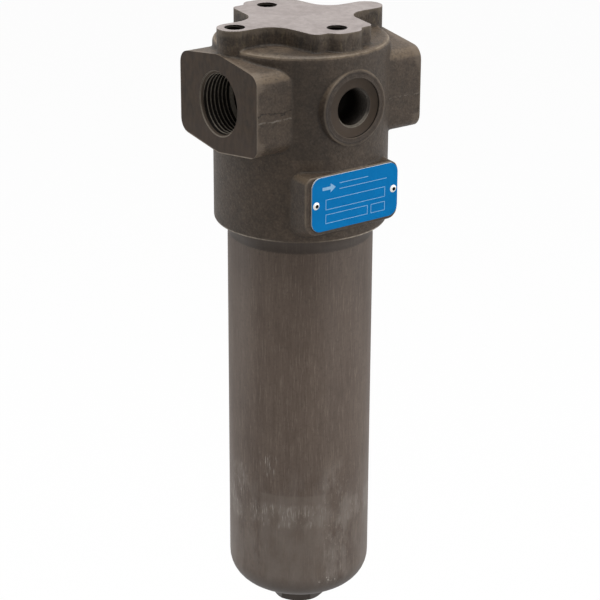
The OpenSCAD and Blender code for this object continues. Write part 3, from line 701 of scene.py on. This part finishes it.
def scuffed_end(s, color):
    """The bowl's lower end, worn as in the photograph: scuffs, fine scratches and small chips, and a pale belt
    of painted reflection
    """
    sideways = SIDEWAYS[0] * s.x + SIDEWAYS[1] * s.y
    # Painted reflection: paler below a sharp edge across the front of the bowl
    belt = (-250.0 - s.z).between(0.0, 1.5) * sideways.within(-19, 15, 3)
    color = s.mix(color, linear(106, 95, 86), belt * 0.45)
    middle = s.z.within(-268, -258, 4)
    right = sideways.within(14, 25, 3) * s.z.within(-304, -246, 18)
    left = sideways.within(-35, -28, 3) * s.z.within(-269, -243, 8)
    zone = middle.most(right).most(left)
    cluster = sideways.within(-20, -13, 2) * s.z.within(-240, -231, 4)
    smear = s.noise(7, 4, 0.65, at=s.stretched(1, 1, 0.4))
    scuff = zone.most(s.z.within(-320, -245, 15) * 0.35) * smear.between(0.4, 0.62)
    color = s.mix(color, linear(134, 126, 119), scuff * 0.32)
    haze = s.noise(9, 4, 0.65, at=s.stretched(1, 1, 0.6)).between(0.35, 0.68)
    haze = haze * (-240.0 - s.z).between(0.0, 25.0)
    color = s.mix(color, linear(124, 116, 109), haze * 0.22)
    scratch = s.noise(0.5, 2, 0.5, at=s.stretched(1, 1, 0.07)).between(0.56, 0.7)
    scratch = scratch * (1.0 - 0.7 * (sideways > 8.0)) * zone.most(cluster * 1.6) * smear.between(0.4, 0.6)
    color = s.mix(color, linear(170, 162, 153), scratch * 0.8)
    chips = s.noise(1.3, 3, 0.6, at=s.stretched(1, 1, 0.7)).between(0.6, 0.68)
    chipped = (sideways.within(8, 22, 2) * s.z.within(-303.0, -300.5, 1)).most(zone * 0.15)
    return s.mix(color, linear(200, 192, 182), chips * chipped * 0.7)


def plate_finish():
    """Blue printed plate with bare aluminium edges, a flow arrow and blank ruled fields"""
    s = Sheet("plate_blue")
    across, up = s.x, s.z - PLATE_Z

    def in_box(x0, x1, z0, z1):
        return ((abs(across - (x0 + x1) / 2) < (x1 - x0) / 2)
                * (abs(up - (z0 + z1) / 2) < (z1 - z0) / 2))

    def outline(x0, x1, z0, z1, line=0.28):
        return in_box(x0, x1, z0, z1) - in_box(x0 + line, x1 - line, z0 + line, z1 - line)

    arrow_head = (abs(up - 8.0) < (-12.4 - across) * 0.75) * in_box(-15.5, -12.4, 4, 12)
    arrow_shaft = in_box(-20.5, -15.5, 7.2, 8.8)
    printed = outline(-18.5, 19, -3.2, 2.2)
    for field in (outline(-18.5, 8, -10.4, -5.6), outline(10, 19, -10.4, -5.6), in_box(-10, 20, 6.4, 6.7),
                  in_box(-10, 8, 9.4, 9.7), arrow_shaft, arrow_head):
        printed = printed.most(field)
    wear = s.noise(1.2, 4, 0.6)
    front = (s.facing_y * -1.0).between(0.6, 0.9)
    blue = s.mix(linear(0, 108, 172), linear(0, 120, 186), s.noise(9, 3, 0.6))
    color = s.mix(blue, linear(176, 214, 240), printed * (0.42 + 0.4 * wear))
    color = s.mix(linear(190, 196, 200), color, front)
    return s.surface(color, 0.5 + 0.1 * wear, [(s.noise(1.5, 3, 0.6), 0.012)], Specular_IOR_Level=0.05)


def metal_finish(name, color, roughness=0.3, axis=(1, 1, 0.1)):
    """Bare metal: fine tool marks along one way, with duller and darker patches"""
    s = Sheet(name)
    marks = s.noise(0.35, 2, 0.5, at=s.stretched(*axis))
    patch = s.noise(4, 4, 0.6)
    dark = tuple(0.45 * c for c in color)
    dirt = patch.between(0.45, 0.8) * 0.35
    scratches = (marks - 0.5).most(0.0) * 0.6
    shade = s.mix(color, dark, (dirt + scratches).clamped())
    return s.surface(shade, roughness + 0.25 * patch, [(marks, 0.01)], metal=0.9)


def rivet_finish():
    """Bright rivet heads, with painted shade down their holes"""
    s = Sheet("rivet_bright")
    offset_x, offset_z = abs(s.x) - RIVET_X, s.z - PLATE_Z
    # Painted shade down the rivets' holes, where the metal is made dark and dull
    hole_shade = (offset_x * offset_x + offset_z * offset_z).between(1.1, 0.85)
    patch = s.noise(1.2, 3, 0.6)
    shade = s.mix(linear(238, 236, 230), linear(196, 192, 184), patch.between(0.45, 0.75))
    shade = s.mix(shade, linear(24, 20, 17), hole_shade)
    return s.surface(shade, 0.3 + 0.2 * patch, [(s.noise(0.3, 2), 0.01)], metal=0.85 - 0.85 * hole_shade)


def soft_finish(name, color, other, roughness):
    """Rubber or plastic: an even colour with a fine grain and paler rubbed places"""
    s = Sheet(name)
    grain = s.noise(0.4, 3, 0.6)
    patch = s.noise(6, 3, 0.6)
    shade = s.mix(color, other, (0.7 * patch + 0.3 * grain).between(0.35, 0.8))
    return s.surface(shade, roughness + 0.15 * grain, [(grain, 0.02)])


def media_finish():
    """Glass fibre between wire meshes: a fine square weave, a little stained"""
    s = Sheet("media_pleated")
    weave = ((s.z * 7.0).wave() * 0.5 + 0.5) * 0.5 + s.noise(0.4, 2, 0.5) * 0.5
    stain = s.noise(14, 4, 0.6).between(0.45, 0.75)
    shade = s.mix(linear(226, 221, 205), linear(188, 176, 150), stain)
    shade = s.mix(shade, linear(150, 148, 142), weave * 0.35)
    return s.surface(shade, 0.8, [(weave, 0.08)])


# Studio

def stage_finish(name, color):
    """Floor: pale, white to the camera and in reflections, with the object's shadow left on it"""
    whiteness = 0.96
    s = Sheet(name)
    path = s.tree.nodes.new("ShaderNodeLightPath")
    camera_ray, glossy_ray, clear_ray = [Field(s, path.outputs[ray]) for ray in
                                         ("Is Camera Ray", "Is Glossy Ray", "Is Transmission Ray")]
    seen = camera_ray.most(glossy_ray).most(clear_ray)
    pale = s.add("ShaderNodeBsdfDiffuse", {}, {"Color": (*color, 1.0)})
    white = s.add("ShaderNodeEmission", {}, {"Color": (1, 1, 1, 1), "Strength": 1.0})
    mixed = s.add("ShaderNodeMixShader", {}, {0: seen * whiteness, 1: pale, 2: white})
    clear = s.add("ShaderNodeBsdfTransparent", {}, {})
    behind = s.add("ShaderNodeNewGeometry", {}, {}, out="Backfacing")
    shown = s.add("ShaderNodeMixShader", {}, {0: behind, 1: mixed, 2: clear})
    output = s.tree.nodes.new("ShaderNodeOutputMaterial")
    s.tree.links.new(shown.socket, output.inputs["Surface"])
    return s.material


def camera():
    """Camera with the photograph's place, turn and lens, found from the outlines of the filter"""
    heading, dip, roll = [math.radians(a) for a in (CAMERA_HEADING, CAMERA_DIP, CAMERA_ROLL)]
    forward = Vector((math.sin(heading) * math.cos(dip), math.cos(heading) * math.cos(dip), -math.sin(dip)))
    right = Vector((math.cos(heading), -math.sin(heading), 0))
    up = right.cross(forward)
    side = math.cos(roll) * right + math.sin(roll) * up
    top = -math.sin(roll) * right + math.cos(roll) * up
    place = Vector((0, 0, CAMERA_AIM_Z)) - forward * CAMERA_DISTANCE + right * CAMERA_AIM_OFFSET
    data = bpy.data.cameras.new("camera")
    data.sensor_width, data.sensor_fit = SENSOR_WIDTH, "HORIZONTAL"
    data.lens = FOCAL_PIXELS / PICTURE_PIXELS * SENSOR_WIDTH
    data.clip_start, data.clip_end = 0.05, 50.0
    view = bpy.data.objects.new("camera", data)
    turn = Matrix([(side[k], top[k], -forward[k], 0) for k in range(3)] + [(0, 0, 0, 1)])
    view.matrix_world = Matrix.Translation(place * MM) @ turn
    bpy.context.scene.collection.objects.link(view)
    bpy.context.scene.camera = view


def softbox(name, place, size, power):
    """A rectangular lamp that faces the middle of the filter"""
    middle = Vector((0, 0, -0.15))
    data = bpy.data.lights.new(name, "AREA")
    data.shape, data.size, data.size_y, data.energy = "RECTANGLE", size[0], size[1], power
    lamp = bpy.data.objects.new(name, data)
    lamp.location = place
    lamp.rotation_euler = (middle - Vector(place)).to_track_quat("-Z", "Y").to_euler()
    bpy.context.scene.collection.objects.link(lamp)


def backdrop():
    """White to the camera and in reflections, and a weaker light from all around on the filter"""
    light_around, light_seen = 0.3, 1.0
    world = bpy.data.worlds.new("studio")
    bpy.context.scene.world = world
    world.use_nodes = True
    tree = world.node_tree
    tree.nodes.clear()
    path = tree.nodes.new("ShaderNodeLightPath")
    seen = tree.nodes.new("ShaderNodeMath")
    seen.operation = "MAXIMUM"
    tree.links.new(path.outputs["Is Camera Ray"], seen.inputs[0])
    tree.links.new(path.outputs["Is Transmission Ray"], seen.inputs[1])
    reflected = tree.nodes.new("ShaderNodeMath")
    reflected.operation = "MAXIMUM"
    tree.links.new(seen.outputs[0], reflected.inputs[0])
    tree.links.new(path.outputs["Is Glossy Ray"], reflected.inputs[1])
    strength = tree.nodes.new("ShaderNodeMapRange")
    strength.inputs["To Min"].default_value = light_around
    strength.inputs["To Max"].default_value = light_seen
    tree.links.new(reflected.outputs[0], strength.inputs["Value"])
    light = tree.nodes.new("ShaderNodeBackground")
    light.inputs["Color"].default_value = (1, 1, 1, 1)
    tree.links.new(strength.outputs[0], light.inputs["Strength"])
    output = tree.nodes.new("ShaderNodeOutputWorld")
    tree.links.new(light.outputs[0], output.inputs["Surface"])


def studio():
    """Pale floor, white surroundings and four softboxes, each with its place, size and power"""
    backdrop()
    half, low = 3, -0.45
    corners = [(-half, -half, low), (half, -half, low), (half, half, low), (-half, half, low)]
    floor = new_piece("floor", corners, [(0, 1, 2, 3)])
    floor.data.materials.append(stage_finish("floor_pale", (0.85, 0.85, 0.85)))
    softbox("above", (0.0, -0.05, 1.15), (0.8, 0.8), 19)
    softbox("left", (-1.13, 0.99, 0.15), (0.6, 1.4), 6)
    softbox("right", (1.28, -0.78, 0.15), (0.6, 1.4), 5)
    softbox("front", (0.45, -1.43, 0.1), (0.6, 1.2), 5.5)
    bpy.context.scene.view_settings.view_transform = "Standard"


# The filter

def dress_head():
    """The cast and machined head, in place of its solid"""
    head = head_piece()
    dressed(head, "head", "cast_head", replaces="filter_head")
    finish_faces(head.data, cast_finish(), cut_finish(), bores_finish())


def dress_bowl():
    """The bowl with the thread cut round its neck, in place of its solid"""
    thread = thread_tool(NECK_THREAD, RIM_Z + 1.2, RIM_Z + 13.5, False, steps=96)
    bowl = combined(copy_of("bowl", "bowl_threaded"), [thread], "DIFFERENCE")
    dressed(bowl, "bowl", "bowl_steel", bowl_finish(), replaces="bowl")


def dress_spring():
    """The coil, with its upper end against the spring plate; on the valve it shortens as the poppet lifts, but
    here it keeps one length
    """
    spring = valve_spring()
    finish = metal_finish("spring_wire", linear(120, 120, 122))
    dressed(spring, "head", "spring_steel", finish, replaces="bypass_spring")
    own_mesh(spring)


def dress_nodes():
    """Finishes for the nodes that keep their own shape"""
    steel, dull_steel = linear(196, 196, 192), linear(150, 149, 146)
    black, worn_black = linear(30, 30, 30), linear(44, 43, 42)
    turned = (0.1, 0.1, 1)
    node_finishes = {
        "nameplate": plate_finish(),
        "plate_rivets": rivet_finish(),
        "element_top_cap": metal_finish("cap_zinc", steel, 0.36),
        "element_bottom_cap": metal_finish("cap_zinc_low", steel, 0.36),
        "element_core": metal_finish("core_zinc", steel, 0.34),
        "bypass_body": metal_finish("valve_turned", dull_steel, axis=turned),
        "bypass_spring_plate": metal_finish("plate_turned", dull_steel, axis=turned),
        "bypass_retaining_ring": metal_finish("ring_dark", linear(92, 92, 94), 0.35),
        "bypass_poppet": metal_finish("poppet_brass", linear(206, 168, 92), 0.28, axis=turned),
        "element_media": media_finish(),
        "element_sleeve": soft_finish("sleeve_white", linear(226, 226, 222), linear(205, 203, 196), 0.45),
        "bowl_o_ring": soft_finish("o_ring_black", black, worn_black, 0.45),
        "element_o_ring": soft_finish("o_ring_black_small", black, worn_black, 0.45),
        "bypass_o_ring": soft_finish("o_ring_black_tiny", black, worn_black, 0.45),
        "bowl_backup_ring": soft_finish("backup_ivory", linear(224, 216, 192), linear(206, 196, 168), 0.4),
    }
    for name, finish in node_finishes.items():
        materials = nodes[name].data.materials
        materials.clear()
        materials.append(finish)


camera()
studio()
dress_head()
dress_bowl()
dress_spring()
dress_nodes()
